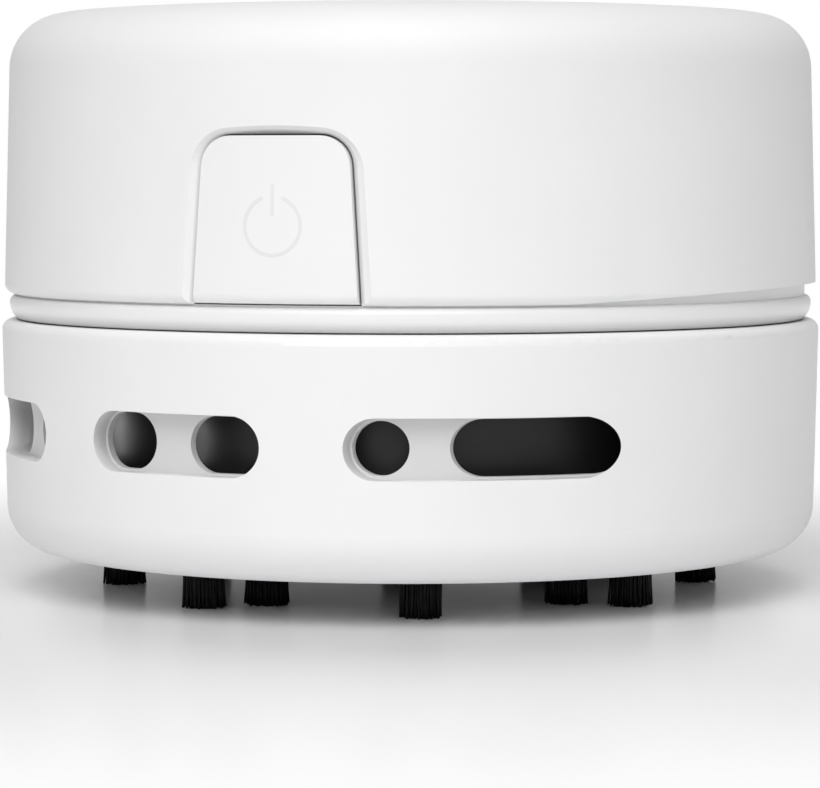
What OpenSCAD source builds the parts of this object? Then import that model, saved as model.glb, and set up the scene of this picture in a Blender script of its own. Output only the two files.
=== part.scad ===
// Desktop mini vacuum cleaner, battery powered, standing on its brush tufts.
// Origin: on the surface it stands on, under the middle of the body.
// +Z is up and the power button faces -Y.
// Angles round the body run from -Y towards +X.

/* [Body] */
// Diameter of the lower housing at its top edge
body_d = 85; // [84:0.5:90]
// Height of the lower housing
lower_h = 23.8; // [23.5:0.1:26]
// Height of the ring between the two housings
ring_h = 2.4; // [1.6:0.1:2.6]
// Round of the ring's nose, near its upper edge
ring_nose = 0.7; // [0.5:0.1:0.8]
// Radius of the longer curve under the nose
ring_under = 2.4; // [2.2:0.1:3]
// Running gap between the ring and the lower housing
ring_gap = 0.15; // [0.1:0.05:0.3]
// Height of the top housing
cap_h = 28.7; // [27:0.1:34]
// Wall of both housings
wall = 2; // [1.8:0.1:2.2]
// Round along the top edge of the top housing
cap_edge_r = 5.6; // [4:0.1:7]
// Round along the bottom edge of the lower housing
foot_edge_r = 4.7; // [3:0.1:5.5]
// Small round along the two facing edges of the housings
lip_r = 1; // [0.4:0.1:1.2]
// How much the lower housing's radius shrinks towards its bottom edge
lower_draft = 0.4; // [0:0.1:0.8]
// How much the top housing's radius shrinks towards its top edge
cap_draft = 0.6; // [0:0.1:1]
// How far the top housing's lower edge lies inside the lower housing's radius
cap_inset = 0.3; // [0:0.1:0.6]
// How far the ring's nose lies inside the lower housing's radius
ring_inset = 0.8; // [0.5:0.1:1.2]

// Width of the key that stops the top housing turning on the chassis
cap_key_w = 5; // [3:0.5:8]

/* [Finger relief under the top housing] */
// Direction the relief faces
relief_dir = 96; // [80:1:110]
// Distance from the axis at which the relief starts
relief_start = 22.3; // [18:0.1:28]
// Slope of the relief
relief_tilt = 3.4; // [2:0.1:4]

/* [Air outlets] */
// Height of an outlet pocket
vent_h = 5.9; // [5:0.1:6.5]
// Height of the pockets' middle above the lower housing's underside
vent_up = 13.1; // [11:0.1:13.5]
// Depth of a pocket
vent_depth = 2.2; // [1.5:0.1:2.4]
// Thickness of a pocket's floor
vent_floor = 0.8; // [0.7:0.1:1.8]
// How much lower a hole is than its pocket
hole_margin = 0.4; // [0.2:0.1:1]
// Length of the two outer pockets of a group
long_pocket = 23.2; // [20:0.1:24]
// Length of the middle pocket of a group
short_pocket = 19.7; // [18:0.1:21]
// Width of the round hole in an outer pocket
side_dot = 5.2; // [4.5:0.1:5.5]
// Width of the short hole in the middle pocket
mid_dot = 6.8; // [5.5:0.1:7.2]
// Length of the long hole in an outer pocket
long_hole = 14.1; // [10:0.1:15]
// Length of the long hole in the middle pocket
short_hole = 8.4; // [7:0.1:10]
// Direction of the middle pocket of the front group
vent_dir = -15.2; // [-20:0.1:-10]
// Turn of the right pocket's cut from the middle one
right_turn = 13.2; // [10:0.1:16]
// Turn of the left pocket's cut from the middle one
left_turn = -21.8; // [-24:0.1:-18]
// Where the right pocket starts, across its cut
right_start = 8.3; // [8:0.1:9]
// Where the left pocket ends, across its cut
left_end = -2.6; // [-4:0.1:-2]

/* [Brushes] */
// How far the tufts stand out below the housing
brush_h = 4.1; // [3:0.1:6]
// Diameter of a tuft
tuft_d = 4.2; // [3.6:0.1:4.8]
// Tufts in the outer circle
outer_tufts = 8; // [4:1:10]
// Radius of the outer circle of tufts
outer_tuft_r = 30; // [29.5:0.1:32]
// Radius at which the four inner tufts stand
inner_tuft_r = 24.3; // [23.5:0.1:24.8]
// Angle of an inner tuft from the brush line
inner_spread = 38; // [34:1:42]
// Turn of the brush line from the button
brush_turn = 20; // [10:1:30]
// Depth of the socket that a tuft is pressed into
socket_depth = 1.3; // [1:0.1:1.5]
// Strands in one tuft
strands = 30; // [20:1:36]
// Thickness of a strand
strand_t = 0.5; // [0.3:0.02:0.56]
// How much a tuft spreads towards its tips
splay = 1.12; // [1:0.01:1.2]

/* [Suction inlet] */
// Length of the nozzle's outside
nozzle_len = 32; // [26:0.5:34]
// Width of the nozzle's outside
nozzle_w = 11; // [9.5:0.1:12]
// Wall of the nozzle
nozzle_wall = 1.3; // [1:0.1:1.6]
// How far the nozzle rises above the dust cup's floor
nozzle_rise = 7; // [4:0.1:9]
// Width of the nozzle's flange
nozzle_flange = 2; // [1:0.1:2.4]
// Thickness of the nozzle's flange
nozzle_flange_t = 1; // [0.6:0.1:1.2]

/* [Dust cup and filter] */
// Air space between the dust cup and the belt that holds the outlets
cup_air = 3.9; // [3:0.1:4.2]
// Wall of the dust cup
cup_wall = 1.2; // [1:0.1:1.6]
// Floor of the dust cup
cup_floor = 1.4; // [1:0.1:2]
// Height of the dust cup
cup_h = 16.4; // [15.5:0.1:16.6]
// Depth that the filter basket hangs into the cup
basket_h = 3; // [2.4:0.1:5]
// Wall of the filter basket and of its spokes
basket_wall = 1.1; // [0.8:0.1:1.6]
// Width of the basket's flange
basket_flange = 3.1; // [2.6:0.1:3.5]
// Thickness of the basket's flange and spokes
basket_t = 1.2; // [0.8:0.1:1.6]
// Number of spokes under the filter
basket_spokes = 6; // [3:1:8]
// Width of the rubber seal
seal_w = 1.2; // [0.8:0.1:1.6]

/* [Bayonet] */
// Number of bayonet lugs
lugs = 3; // [2:1:4]
// Arc that one lug spans
lug_span = 18; // [12:1:20]
// Thickness of a lug and of the rib above it
lug_t = 1.5; // [1:0.1:1.6]
// Depth of the rib's top below the lower housing's edge
rib_drop = 2; // [1:0.1:2.2]
// How far a lug or a rib stands out
lug_reach = 1.3; // [1:0.1:1.4]
// Wall of the chassis skirt
skirt_wall = 1.2; // [1:0.1:1.5]
// How far the skirt reaches below its lugs
skirt_foot = 0.4; // [0.2:0.1:0.6]

/* [Chassis and fan] */
// Space between the dust cup's rim and the deck
deck_gap = 3.1; // [2.8:0.1:3.4]
// Thickness of the deck and of the fan lid
deck_t = 1.5; // [1.2:0.1:1.8]
// Height of the fan chamber
fan_room = 6.9; // [6:0.1:8]
// Radius of the fan's air inlet in the deck
eye_r = 11; // [8:0.1:13]
// Width of a spoke over the air inlet
spoke_w = 1.2; // [0.8:0.1:2]
// Spokes over the air inlet
eye_spokes = 6; // [3:1:8]
// Wall of the fan lid
lid_wall = 1.3; // [1:0.1:1.6]
// Width of the air passages round the deck
passage_w = 1.5; // [1:0.1:1.6]
// Arc of one air passage
passage_span = 38; // [30:1:40]
// Arc from one air passage to the next
passage_pitch = 44; // [42:1:46]
// Height of the spigot that the top housing fits over
spigot_h = 2.2; // [1.5:0.1:3]
// How far the spigot's inside lies within the housing's wall
spigot_back = 1; // [0.6:0.1:1.2]
// Space between the impeller and the screw posts
fan_side = 2.7; // [2:0.1:6]
// Number of impeller blades
blades = 9; // [5:1:11]
// Thickness of a blade
blade_t = 0.9; // [0.6:0.1:1.4]
// Radius of a blade's curve
blade_curve = 16; // [14:0.5:20]
// Thickness of the impeller's back plate
plate_t = 1.2; // [0.8:0.1:1.6]
// Radius of the impeller's hub
hub_r = 4; // [3:0.1:5]
// Running gap above and below the impeller
fan_gap = 0.7; // [0.4:0.1:1]

/* [Motor] */
// Diameter of the motor
motor_d = 24.4; // [22:0.1:24.4]
// Height of the motor's can
motor_h = 12.4; // [10:0.1:15]
// Height of the motor's end cap
motor_cap_h = 1.4; // [1:0.1:2]
// Diameter of the shaft
shaft_d = 2; // [1.5:0.1:3]
// Radius of the motor's front bush
bush_r = 3; // [2.5:0.1:4]
// Distance of a motor screw from the shaft
motor_screw_r = 8.5; // [7:0.1:9]
// Width of a motor terminal
terminal_w = 2.2; // [1.6:0.1:2.8]
// Thickness of a motor terminal
terminal_t = 0.4; // [0.3:0.1:0.6]
// Height of a motor terminal
terminal_h = 3; // [2:0.1:3.4]
// Depth that a motor screw reaches into the motor
motor_bite = 2; // [1:0.1:3]

/* [Battery] */
// Diameter of a cell, size AA
cell_d = 14.5; // [14.5:0.1:14.5]
// Length of a cell with its contact nub
cell_len = 50.5; // [50.5:0.1:50.5]
// Height of the nub
nub_h = 1; // [1:0.1:1.2]
// Radius of the nub
nub_r = 2.75; // [2.5:0.05:3]
// Space between the motor and a cell
cell_gap = 0.8; // [0.5:0.1:1.2]
// Thickness of the tray's plate
tray_t = 1.4; // [1:0.1:2]
// Height of the cradle under a cell, above the plate
cradle_h = 4.5; // [3:0.1:6]
// Wall beside a cell
cradle_wall = 1; // [0.8:0.1:1.4]
// Wall behind the contacts
end_wall = 1.2; // [1:0.1:1.4]
// Space between the tray and the top housing's wall
tray_air = 3.4; // [3.2:0.1:4]
// Space for a contact at each end of a cell
contact_room = 2.2; // [1.8:0.1:2.6]
// Thickness of a contact plate
contact_t = 0.4; // [0.3:0.05:0.5]
// Width and height of a contact plate
contact_w = 8; // [6:0.5:10]
// Wire of a contact spring
spring_wire = 0.5; // [0.4:0.05:0.6]
// Curls of a contact spring
spring_curls = 1.5; // [1:0.5:2]
// Radius of a contact spring at its wide end
spring_r = 3.6; // [3:0.1:4]

/* [Button and switch] */
// Width of the button at its lower edge
key_w = 16.5; // [14:0.1:17]
// Width of the button at its top
key_top_w = 14.5; // [12:0.1:15]
// Height of the button
key_h = 15.8; // [14:0.1:17]
// Radius of the button's top corners
key_corner = 3; // [1.5:0.1:4]
// Gap round the button
key_gap = 0.15; // [0.1:0.05:0.3]
// Width of the bevel round the button
bevel_w = 1.1; // [0.6:0.1:1.4]
// Width of the bevel over the button's top
bevel_top = 0.6; // [0.3:0.1:1.2]
// Depth of the bevel
bevel_depth = 0.7; // [0.4:0.1:1]
// Travel of the button
press = 1; // [0.8:0.1:1.1]
// How far the button's inner flange reaches past its edge
key_flange = 1.4; // [1:0.1:1.6]
// Thickness of the button's inner flange
key_flange_t = 1; // [0.8:0.1:1]
// Width and height of the push switch
switch_w = 7.2; // [6:0.1:8]
// Depth of the push switch
switch_len = 7; // [6:0.1:8]
// Width of the switch's plunger
plunger_w = 2.6; // [2:0.1:3.2]

/* [Fasteners and leads] */
// Diameter of the screws
screw_d = 2; // [1.6:0.1:2.4]
// Radius of a screw's head
screw_head_r = 1.9; // [1.6:0.1:2.2]
// Height of a screw's head
screw_head_h = 1.3; // [1:0.1:1.6]
// Screw place, sideways from the middle
screw_x = 9; // [8.5:0.1:9.3]
// Radius of the screw posts
post_r = 2.4; // [2.2:0.1:2.6]
// Space between a screw post and the fan lid's wall
post_air = 1.75; // [1.4:0.05:2.1]
// Depth of the hole in a screw post
post_bore = 6; // [5:0.1:6.2]
// Length of a tray screw below its head
screw_len = 8.4; // [6:0.1:8.6]
// Diameter of a lead
lead_d = 1.2; // [0.8:0.1:1.4]

/* [Fits] */
// Gap between pieces that move past each other
seam = 0.3; // [0.25:0.05:0.4]
// Clearance of pieces that fit together
fit = 0.15; // [0.1:0.05:0.2]
// Clearance of the shaft in its bush and of a screw in its post
running = 0.04; // [0.02:0.01:0.08]

/* [Hidden] */

$fn = 96;
eps = 0.01;

// radii
lower_r = body_d / 2;
foot_r = lower_r - lower_draft;
cap_r = lower_r - cap_inset;
cap_top_r = cap_r - cap_draft;
ring_r = lower_r - ring_inset;
pocket_r = lower_r - vent_depth;
belt_r = pocket_r - vent_floor;
rib_r = lower_r - wall - lug_reach;
skirt_r = rib_r - seam;
skirt_in_r = skirt_r - skirt_wall;
cup_r = belt_r - cup_air;
lid_r = skirt_in_r - fit;
lid_in_r = lid_r - lid_wall;
passage_r = lid_in_r - fit;
screw_ring_r = lid_in_r - post_air - post_r;
impeller_r = screw_ring_r - post_r - fan_side;
tray_r = cap_r - wall - tray_air;
lap_r = cap_r - wall / 2;
spigot_r = lap_r - fit;
spigot_in_r = cap_r - wall - fit;

// heights
z_foot = brush_h;
z_floor = z_foot + wall;
z_split = z_foot + lower_h;
z_ring = z_split + ring_gap;
z_ring_top = z_ring + ring_h;
z_cap = z_ring_top + fit;
z_top = z_cap + cap_h;
z_vent = z_foot + vent_up;
z_cup = z_floor + cup_floor;
z_rim = z_floor + cup_h;
z_basket = z_rim - basket_h;
z_flange = z_rim + basket_t;
z_deck = z_rim + deck_gap;
z_deck_top = z_deck + deck_t;
z_lid = z_deck_top + fan_room;
z_lid_top = z_lid + deck_t;
z_tray = z_lid_top + tray_t;
z_motor_top = z_lid_top + motor_h;
z_motor_cap = z_motor_top + motor_cap_h;
z_rib_top = z_split - rib_drop;
z_lug_top = z_rib_top - lug_t - seam;
z_lug = z_lug_top - lug_t;
z_skirt = z_lug - skirt_foot;
z_blades = z_deck_top + fan_gap;
z_plate = z_lid - fan_gap - plate_t;

// battery
cell_x = motor_d / 2 + cell_gap + cell_d / 2;
z_cell = z_tray + fit + cell_d / 2;
contact_y = cell_len / 2 + contact_room;

// button and switch
z_key = z_cap + key_gap;
z_press = z_tray + switch_w / 2;
plunger_tip = key_back(z_press) - key_flange_t - seam;
switch_front = plunger_tip - press - plunger_w;
plunger_len = press + 2 * plunger_w;

// lead routes: the bends, from end to end
battery_route = [[-17, -26.7, 49.2], [-12, -26.7, 49.8], [-8, -26.8, 47], [-3, -26.6, 44], [-1.8, -26.6, 42]];
switch_route = [[1.8, -26.6, 42], [1.4, -23, 45], [-3, -14, 50], [-6.1, -5, 52.3], [-6.1, -0.4, 51.5]];
motor_route = [[17, -26.7, 49.2], [13, -25.5, 51.2], [9, -18, 53], [6.1, -5, 53], [6.1, -0.4, 51.5]];

// radius of the button's inside at height z
function key_back(z) = skin_r(z) - wall - fit;

// a point at radius r, angle a from -Y towards +X, height z
function around(r, a, z = 0) = [r * sin(a), -r * cos(a), z];

// unit vector
function unit(v) = v / norm(v);

// one round of corner cutting, ends kept
function cut_corners(p) = concat(
    [p[0]],
    [for (i = [0:len(p) - 2], s = [0.25, 0.75]) p[i] * (1 - s) + p[i + 1] * s],
    [p[len(p) - 1]]);

// direction of a route at point i
function along(p, i) = unit(p[min(i + 1, len(p) - 1)] - p[max(i - 1, 0)]);

// a tube swept along a route; up is never parallel to the route
module swept(route, r, sides, up) {
    n = len(route);
    rings = [for (i = [0:n - 1])
        let (t = along(route, i), u = unit(cross(t, up)), v = cross(t, u))
        for (k = [0:sides - 1])
            route[i] + r * (cos(360 * k / sides) * u + sin(360 * k / sides) * v)];
    sheets = [for (i = [0:n - 2], k = [0:sides - 1])
        let (a = i * sides + k, b = i * sides + (k + 1) % sides)
        each [[a, a + sides, b], [b, a + sides, b + sides]]];
    last = (n - 1) * sides;
    ends = [for (k = [1:sides - 2]) each [[0, k, k + 1], [last, last + k + 1, last + k]]];
    polyhedron(points = rings, faces = concat(sheets, ends));
}

// a slot with round ends, centred, lying along x
module slot(length, width) {
    if (length > width + eps) {
        square([length - width, width], center = true);
        for (s = [-1, 1]) translate([s * (length - width) / 2, 0]) circle(d = width);
    } else circle(d = width);
}

// a ring or tube
module tube(outer, inner, height) {
    difference() {
        cylinder(r = outer, h = height);
        translate([0, 0, -eps]) cylinder(r = inner, h = height + 2 * eps);
    }
}

// part of a ring, from angle a over the given span
module arc_ring(outer, inner, height, a, span) {
    rotate([0, 0, a - 90]) rotate_extrude(angle = span)
        translate([inner, 0]) square([outer - inner, height]);
}

// children at the four screw places
module at_screws() {
    screw_y = sqrt(pow(screw_ring_r, 2) - pow(screw_x, 2));
    for (sx = [-1, 1], sy = [-1, 1]) translate([sx * screw_x, sy * screw_y, 0]) children();
}

// ---------------------------------------------------------------- lower housing

// outside of the lower housing, from the axis
module lower_outline() {
    polygon([[0, z_foot], [foot_r - foot_edge_r, z_foot], [foot_r, z_foot + foot_edge_r],
             [lower_r, z_split - lip_r], [lower_r - lip_r, z_split], [0, z_split]]);
    translate([foot_r - foot_edge_r, z_foot + foot_edge_r]) circle(r = foot_edge_r);
    translate([lower_r - lip_r, z_split - lip_r]) circle(r = lip_r);
}

// inside of the lower housing, with the thicker belt that holds the outlets
module lower_cavity() {
    in_r = lower_r - wall;
    foot_in = foot_r - wall;
    inner_edge = foot_edge_r - wall;
    step = in_r - belt_r;
    belt_lo = z_vent - vent_h / 2 - vent_floor;
    belt_hi = z_vent + vent_h / 2 + vent_floor;
    polygon([[0, z_floor], [foot_in - inner_edge, z_floor], [foot_in, z_floor + inner_edge],
             [foot_in, belt_lo - step], [belt_r, belt_lo], [belt_r, belt_hi],
             [in_r, belt_hi], [in_r, z_split + 1], [0, z_split + 1]]);
    translate([foot_in - inner_edge, z_floor + inner_edge]) circle(r = inner_edge);
}

// a slot-shaped cut through the wall, from u0 to u1 across the direction dir
module wall_cut(dir, u0, u1, height) {
    rotate([0, 0, dir]) translate([(u0 + u1) / 2, 0, z_vent]) rotate([90, 0, 0])
        linear_extrude(height = body_d) slot(u1 - u0, height);
}

// one outlet: a pocket, then its holes through the pocket's floor
module outlet(dir, u0, u1, holes) {
    difference() {
        wall_cut(dir, u0, u1, vent_h);
        cylinder(r = pocket_r, h = z_split);
    }
    for (h = holes) wall_cut(dir, h[0], h[1], min(h[1] - h[0], vent_h - hole_margin));
}

// three outlets side by side, the middle one facing dir; each has a short and a long hole
module outlet_group(dir) {
    inset = hole_margin / 2;
    half = short_pocket / 2;
    right_end = right_start + long_pocket;
    left_start = left_end - long_pocket;
    outlet(dir, -half, half,
        [[-half + inset, -half + inset + mid_dot], [half - inset - short_hole, half - inset]]);
    outlet(dir + right_turn, right_start, right_end,
        [[right_start + inset, right_start + inset + side_dot],
         [right_end - inset - long_hole, right_end - inset]]);
    outlet(dir + left_turn, left_start, left_end,
        [[left_end - inset - side_dot, left_end - inset],
         [left_start + inset, left_start + inset + long_hole]]);
}

// stretch of the suction slot, at the given size
module inlet_slot(grow, z0, z1) {
    translate([0, 0, z0]) rotate([0, 0, brush_turn])
        linear_extrude(height = z1 - z0) slot(nozzle_len + 2 * grow, nozzle_w + 2 * grow);
}

// centres of all the tufts: the outer circle, then the inner four
function outer_places() = [for (i = [0:outer_tufts - 1])
    around(outer_tuft_r, brush_turn + 360 * i / outer_tufts)];
function inner_places() = [for (turn = [0, 180], s = [-1, 1])
    around(inner_tuft_r, brush_turn + turn + s * inner_spread)];

module lower_housing() color("white") {
    difference() {
        rotate_extrude() difference() {
            lower_outline();
            lower_cavity();
        }
        outlet_group(vent_dir);
        outlet_group(180);
        inlet_slot(fit, z_foot - 1, z_floor + 1);
        inlet_slot(nozzle_flange + fit, z_foot - 1, z_foot + nozzle_flange_t);
        for (p = concat(outer_places(), inner_places()))
            translate([p[0], p[1], z_foot - 1]) cylinder(d = tuft_d + fit, h = socket_depth + 1);
    }
    for (i = [0:lugs - 1]) translate([0, 0, z_rib_top - lug_t])
        arc_ring(lower_r - wall / 2, rib_r, lug_t, 360 * i / lugs - lug_span / 2, lug_span);
}

// ---------------------------------------------------------------- dust path

module dust_cup() color([0.09, 0.09, 0.1]) {
    difference() {
        translate([0, 0, z_floor]) cylinder(r = cup_r, h = cup_h);
        translate([0, 0, z_cup]) cylinder(r = cup_r - cup_wall, h = cup_h);
        inlet_slot(fit, z_floor - 1, z_cup + 1);
    }
}

module inlet_nozzle() color([0.1, 0.1, 0.11]) {
    difference() {
        union() {
            inlet_slot(0, z_foot, z_cup + nozzle_rise);
            inlet_slot(nozzle_flange, z_foot, z_foot + nozzle_flange_t - fit);
        }
        inlet_slot(-nozzle_wall, z_foot - 1, z_cup + nozzle_rise + 1);
    }
}

// a strand of a tuft: it starts in the backing and is cut level at its tip
module strand(root, tip, size) {
    corners = [for (k = [0:3]) size / 2 * [cos(90 * k), sin(90 * k)]];
    top = z_foot + socket_depth / 2;
    polyhedron(
        points = concat([for (c = corners) [tip[0] + c[0], tip[1] + c[1], 0]],
                        [for (c = corners) [root[0] + c[0], root[1] + c[1], top]]),
        faces = [[0, 1, 2], [0, 2, 3], [4, 6, 5], [4, 7, 6],
                 [0, 4, 1], [1, 4, 5], [1, 5, 2], [2, 5, 6],
                 [2, 6, 3], [3, 6, 7], [3, 7, 0], [0, 7, 4]]);
}

// strand i of a tuft, on a seed-head spiral
function strand_place(i) = let (r = (tuft_d / 2 / splay - strand_t / 2) * sqrt((i + 0.5) / strands))
    [r * cos(137.5 * i), r * sin(137.5 * i)];

module tuft(place) color([0.05, 0.05, 0.05]) translate([place[0], place[1], 0]) {
    translate([0, 0, z_foot]) cylinder(d = tuft_d, h = socket_depth, $fn = 24);
    for (i = [0:strands - 1])
        strand(strand_place(i), splay * strand_place(i), strand_t);
}

// a drum of flat spokes from the axis to radius r
module spokes(r, width, height, count) {
    for (i = [0:count - 1]) rotate([0, 0, 360 * i / count])
        translate([0, -width / 2, 0]) cube([r, width, height]);
}

module filter_basket() color([0.2, 0.2, 0.22]) {
    out_r = cup_r - cup_wall - seam;
    in_r = out_r - basket_wall;
    translate([0, 0, z_rim]) tube(cup_r, cup_r - basket_flange, basket_t);
    translate([0, 0, z_basket]) tube(out_r, in_r, basket_h + eps);
    translate([0, 0, z_basket]) spokes(in_r + basket_wall / 2, basket_wall, basket_t, basket_spokes);
    translate([0, 0, z_basket]) cylinder(r = hub_r, h = basket_t);
}

module filter_pad() color([0.85, 0.85, 0.82]) {
    pad_r = cup_r - cup_wall - seam - basket_wall - fit;
    translate([0, 0, z_basket + basket_t]) cylinder(r = pad_r, h = basket_h - basket_t);
}

module cup_seal() color([0.15, 0.15, 0.15]) {
    out_r = lid_in_r - passage_w - 2 * fit;
    translate([0, 0, z_flange + seam]) tube(out_r, out_r - seal_w, z_deck - z_flange - seam);
}

// ---------------------------------------------------------------- chassis

// section of the ring: a nose near the top, and a longer curve down to the groove
module ring_section() {
    z_nose = z_ring_top - ring_nose;
    hull() {
        translate([skirt_in_r, z_ring]) square([wall, ring_h]);
        translate([ring_r - ring_nose, z_nose]) circle(r = ring_nose);
        intersection() {
            translate([ring_r - ring_under, z_nose]) circle(r = ring_under);
            translate([skirt_in_r, z_ring]) square([ring_r - skirt_in_r, z_nose - z_ring]);
        }
    }
}

module chassis() color("whitesmoke") {
    half = ring_h / 2;
    difference() {
        union() {
            // ring, spigot, skirt and deck in one revolve
            rotate_extrude() {
                ring_section();
                translate([spigot_in_r - spigot_back, z_ring + half])
                    square([spigot_r - spigot_in_r + spigot_back, half + spigot_h]);
                translate([skirt_in_r, z_skirt]) square([skirt_wall, z_ring + half - z_skirt]);
                translate([0, z_deck]) square([skirt_in_r + skirt_wall / 2, deck_t]);
            }
            for (i = [0:lugs - 1]) translate([0, 0, z_lug])
                arc_ring(skirt_r + lug_reach, skirt_r - skirt_wall / 2, lug_t,
                    360 * i / lugs - lug_span / 2, lug_span);
            at_screws() translate([0, 0, z_deck + deck_t / 2])
                cylinder(r = post_r, h = z_lid - z_deck - deck_t / 2);
        }
        // air inlet of the fan
        translate([0, 0, z_deck - 1]) cylinder(r = eye_r, h = deck_t + 2);
        // air passages down to the outlets
        for (side = [90, 270], k = [-1:1]) translate([0, 0, z_deck - 1])
            arc_ring(passage_r, passage_r - passage_w, deck_t + 2,
                side + k * passage_pitch - passage_span / 2, passage_span);
        at_screws() translate([0, 0, z_lid - post_bore])
            cylinder(d = screw_d + running, h = post_bore + 1);
        // the spigot is open behind the button and at the housing's key
        translate([-key_w / 2 - key_flange - 1, -body_d / 2, z_cap])
            cube([key_w + 2 * key_flange + 2, body_d / 2, spigot_h + 1]);
        translate([-cap_key_w / 2 - seam, 0, z_cap])
            cube([cap_key_w + 2 * seam, body_d / 2, spigot_h + 1]);
    }
    // guard over the air inlet, a little thinner than the deck
    translate([0, 0, z_deck + fit]) {
        spokes(eye_r + spoke_w, spoke_w, deck_t - 2 * fit, eye_spokes);
        cylinder(r = hub_r, h = deck_t - 2 * fit);
    }
}

module fan_lid() color([0.8, 0.8, 0.82]) {
    difference() {
        translate([0, 0, z_deck_top]) cylinder(r = lid_r, h = z_lid_top - z_deck_top);
        translate([0, 0, z_deck_top - 1]) cylinder(r = lid_in_r, h = fan_room + 1);
        translate([0, 0, z_lid - 1]) cylinder(r = bush_r + fit, h = deck_t + 2);
        at_screws() translate([0, 0, z_lid - 1]) cylinder(d = screw_d + 2 * fit, h = deck_t + 2);
        at_motor_screws() translate([0, 0, z_lid - 1]) cylinder(d = screw_d + 2 * fit, h = deck_t + 2);
        at_motor_screws() translate([0, 0, z_lid - 1])
            cylinder(r = screw_head_r + fit, h = deck_t / 2 + 1);
    }
}

// one blade: a curved strip from the hub to the rim
module blade() {
    reach = impeller_r - blade_t / 2;
    intersection() {
        translate([blade_curve, 0]) difference() {
            circle(r = blade_curve + blade_t / 2);
            circle(r = blade_curve - blade_t / 2);
        }
        difference() {
            circle(r = reach);
            circle(r = hub_r - blade_t / 2);
        }
        translate([-2 * blade_t, 0]) square(2 * reach);
    }
}

module fan_impeller() color([0.12, 0.12, 0.13]) {
    difference() {
        union() {
            translate([0, 0, z_plate]) cylinder(r = impeller_r, h = plate_t);
            translate([0, 0, z_blades - fan_gap / 2]) cylinder(r = hub_r, h = z_plate - z_blades + plate_t);
            for (i = [0:blades - 1]) rotate([0, 0, 360 * i / blades])
                translate([0, 0, z_blades]) linear_extrude(height = z_plate - z_blades + plate_t / 2) blade();
        }
        translate([0, 0, z_blades - 1]) cylinder(d = shaft_d + running, h = fan_room + 2);
    }
}

// ---------------------------------------------------------------- motor

// children at the two screws that hold the motor
module at_motor_screws() {
    for (s = [-1, 1]) translate([0, s * motor_screw_r, 0]) children();
}

module motor_shaft() color("silver")
    translate([0, 0, z_blades - 0.5]) cylinder(d = shaft_d, h = z_motor_cap + 0.5 - z_blades);

module motor_bush() color("goldenrod")
    translate([0, 0, z_lid + fit]) tube(bush_r, shaft_d / 2 + running, deck_t - fit);

module motor_can() color("silver") {
    difference() {
        translate([0, 0, z_lid_top]) cylinder(d = motor_d, h = motor_h);
        translate([0, 0, z_lid_top - 1]) cylinder(r = shaft_d / 2 + seam, h = motor_h + 2);
        at_motor_screws() translate([0, 0, z_lid_top - 1])
            cylinder(d = screw_d + running, h = motor_bite + 1 + seam);
    }
}

module motor_end_cap() color([0.15, 0.15, 0.16]) {
    translate([0, 0, z_motor_top]) tube(motor_d / 2 - 0.8, shaft_d / 2 + seam, motor_cap_h);
}

module motor_terminals() color("goldenrod") {
    for (s = [-1, 1]) translate([s * motor_d / 4 - terminal_w / 2, -terminal_t / 2, z_motor_cap])
        cube([terminal_w, terminal_t, terminal_h]);
}

// a screw with its head's underside at z = 0
module screw(length) {
    difference() {
        cylinder(r = screw_head_r, h = screw_head_h);
        translate([0, 0, screw_head_h / 2 + 1]) cube([screw_head_r, 0.4, 2], center = true);
    }
    translate([0, 0, -length]) cylinder(d = screw_d, h = length + eps);
}

// screws with thin heads, driven up from the fan chamber
module motor_screws() color("silver") at_motor_screws() {
    translate([0, 0, z_lid + fit]) cylinder(r = screw_head_r, h = deck_t / 2 - fit);
    translate([0, 0, z_lid + deck_t / 2 - eps]) cylinder(d = screw_d, h = deck_t / 2 + motor_bite);
}

// ---------------------------------------------------------------- battery

// children at both cells; the second one is turned end for end
module at_cell(i) {
    translate([i == 1 ? cell_x : -cell_x, 0, z_cell]) rotate([0, 0, i == 1 ? 0 : 180]) children();
}

module battery_tray() color([0.85, 0.85, 0.87]) {
    block_w = cell_d + 2 * fit + 2 * cradle_wall;
    wall_top = z_cell + contact_w / 2 + 1;
    difference() {
        intersection() {
            translate([0, 0, z_lid_top]) cylinder(r = tray_r, h = wall_top - z_lid_top);
            union() {
                for (s = [-1, 1]) {
                    // cradle
                    translate([s * cell_x - block_w / 2, -contact_y - end_wall, z_lid_top])
                        cube([block_w, 2 * (contact_y + end_wall), tray_t + cradle_h]);
                    // end walls
                    for (e = [-1, 1])
                        translate([s * cell_x - block_w / 2, e * (contact_y + end_wall / 2) - end_wall / 2,
                                   z_lid_top])
                            cube([block_w, end_wall, wall_top - z_lid_top]);
                    // plate beyond the motor
                    translate([-cell_x, s > 0 ? motor_d / 2 + 2 : -tray_r, z_lid_top])
                        cube([2 * cell_x, tray_r - motor_d / 2 - 2, tray_t]);
                }
            }
        }
        for (s = [-1, 1]) translate([s * cell_x, contact_y, z_cell]) rotate([90, 0, 0])
            cylinder(d = cell_d + 2 * fit, h = 2 * contact_y);
        translate([0, 0, z_lid_top - 1]) cylinder(r = motor_d / 2 + fit, h = motor_h);
        at_screws() translate([0, 0, z_lid_top - 1]) cylinder(d = screw_d + 2 * fit, h = tray_t + 2);
    }
}

module tray_screws() color("silver")
    at_screws() translate([0, 0, z_tray]) screw(screw_len);

// an AA cell: a straight can with a nub at the +Y end
module cell() {
    body_len = cell_len - nub_h;
    translate([0, cell_len / 2 - nub_h, 0]) rotate([90, 0, 0]) cylinder(d = cell_d, h = body_len);
    translate([0, cell_len / 2, 0]) rotate([90, 0, 0]) cylinder(r = nub_r, h = nub_h + eps);
}

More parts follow.
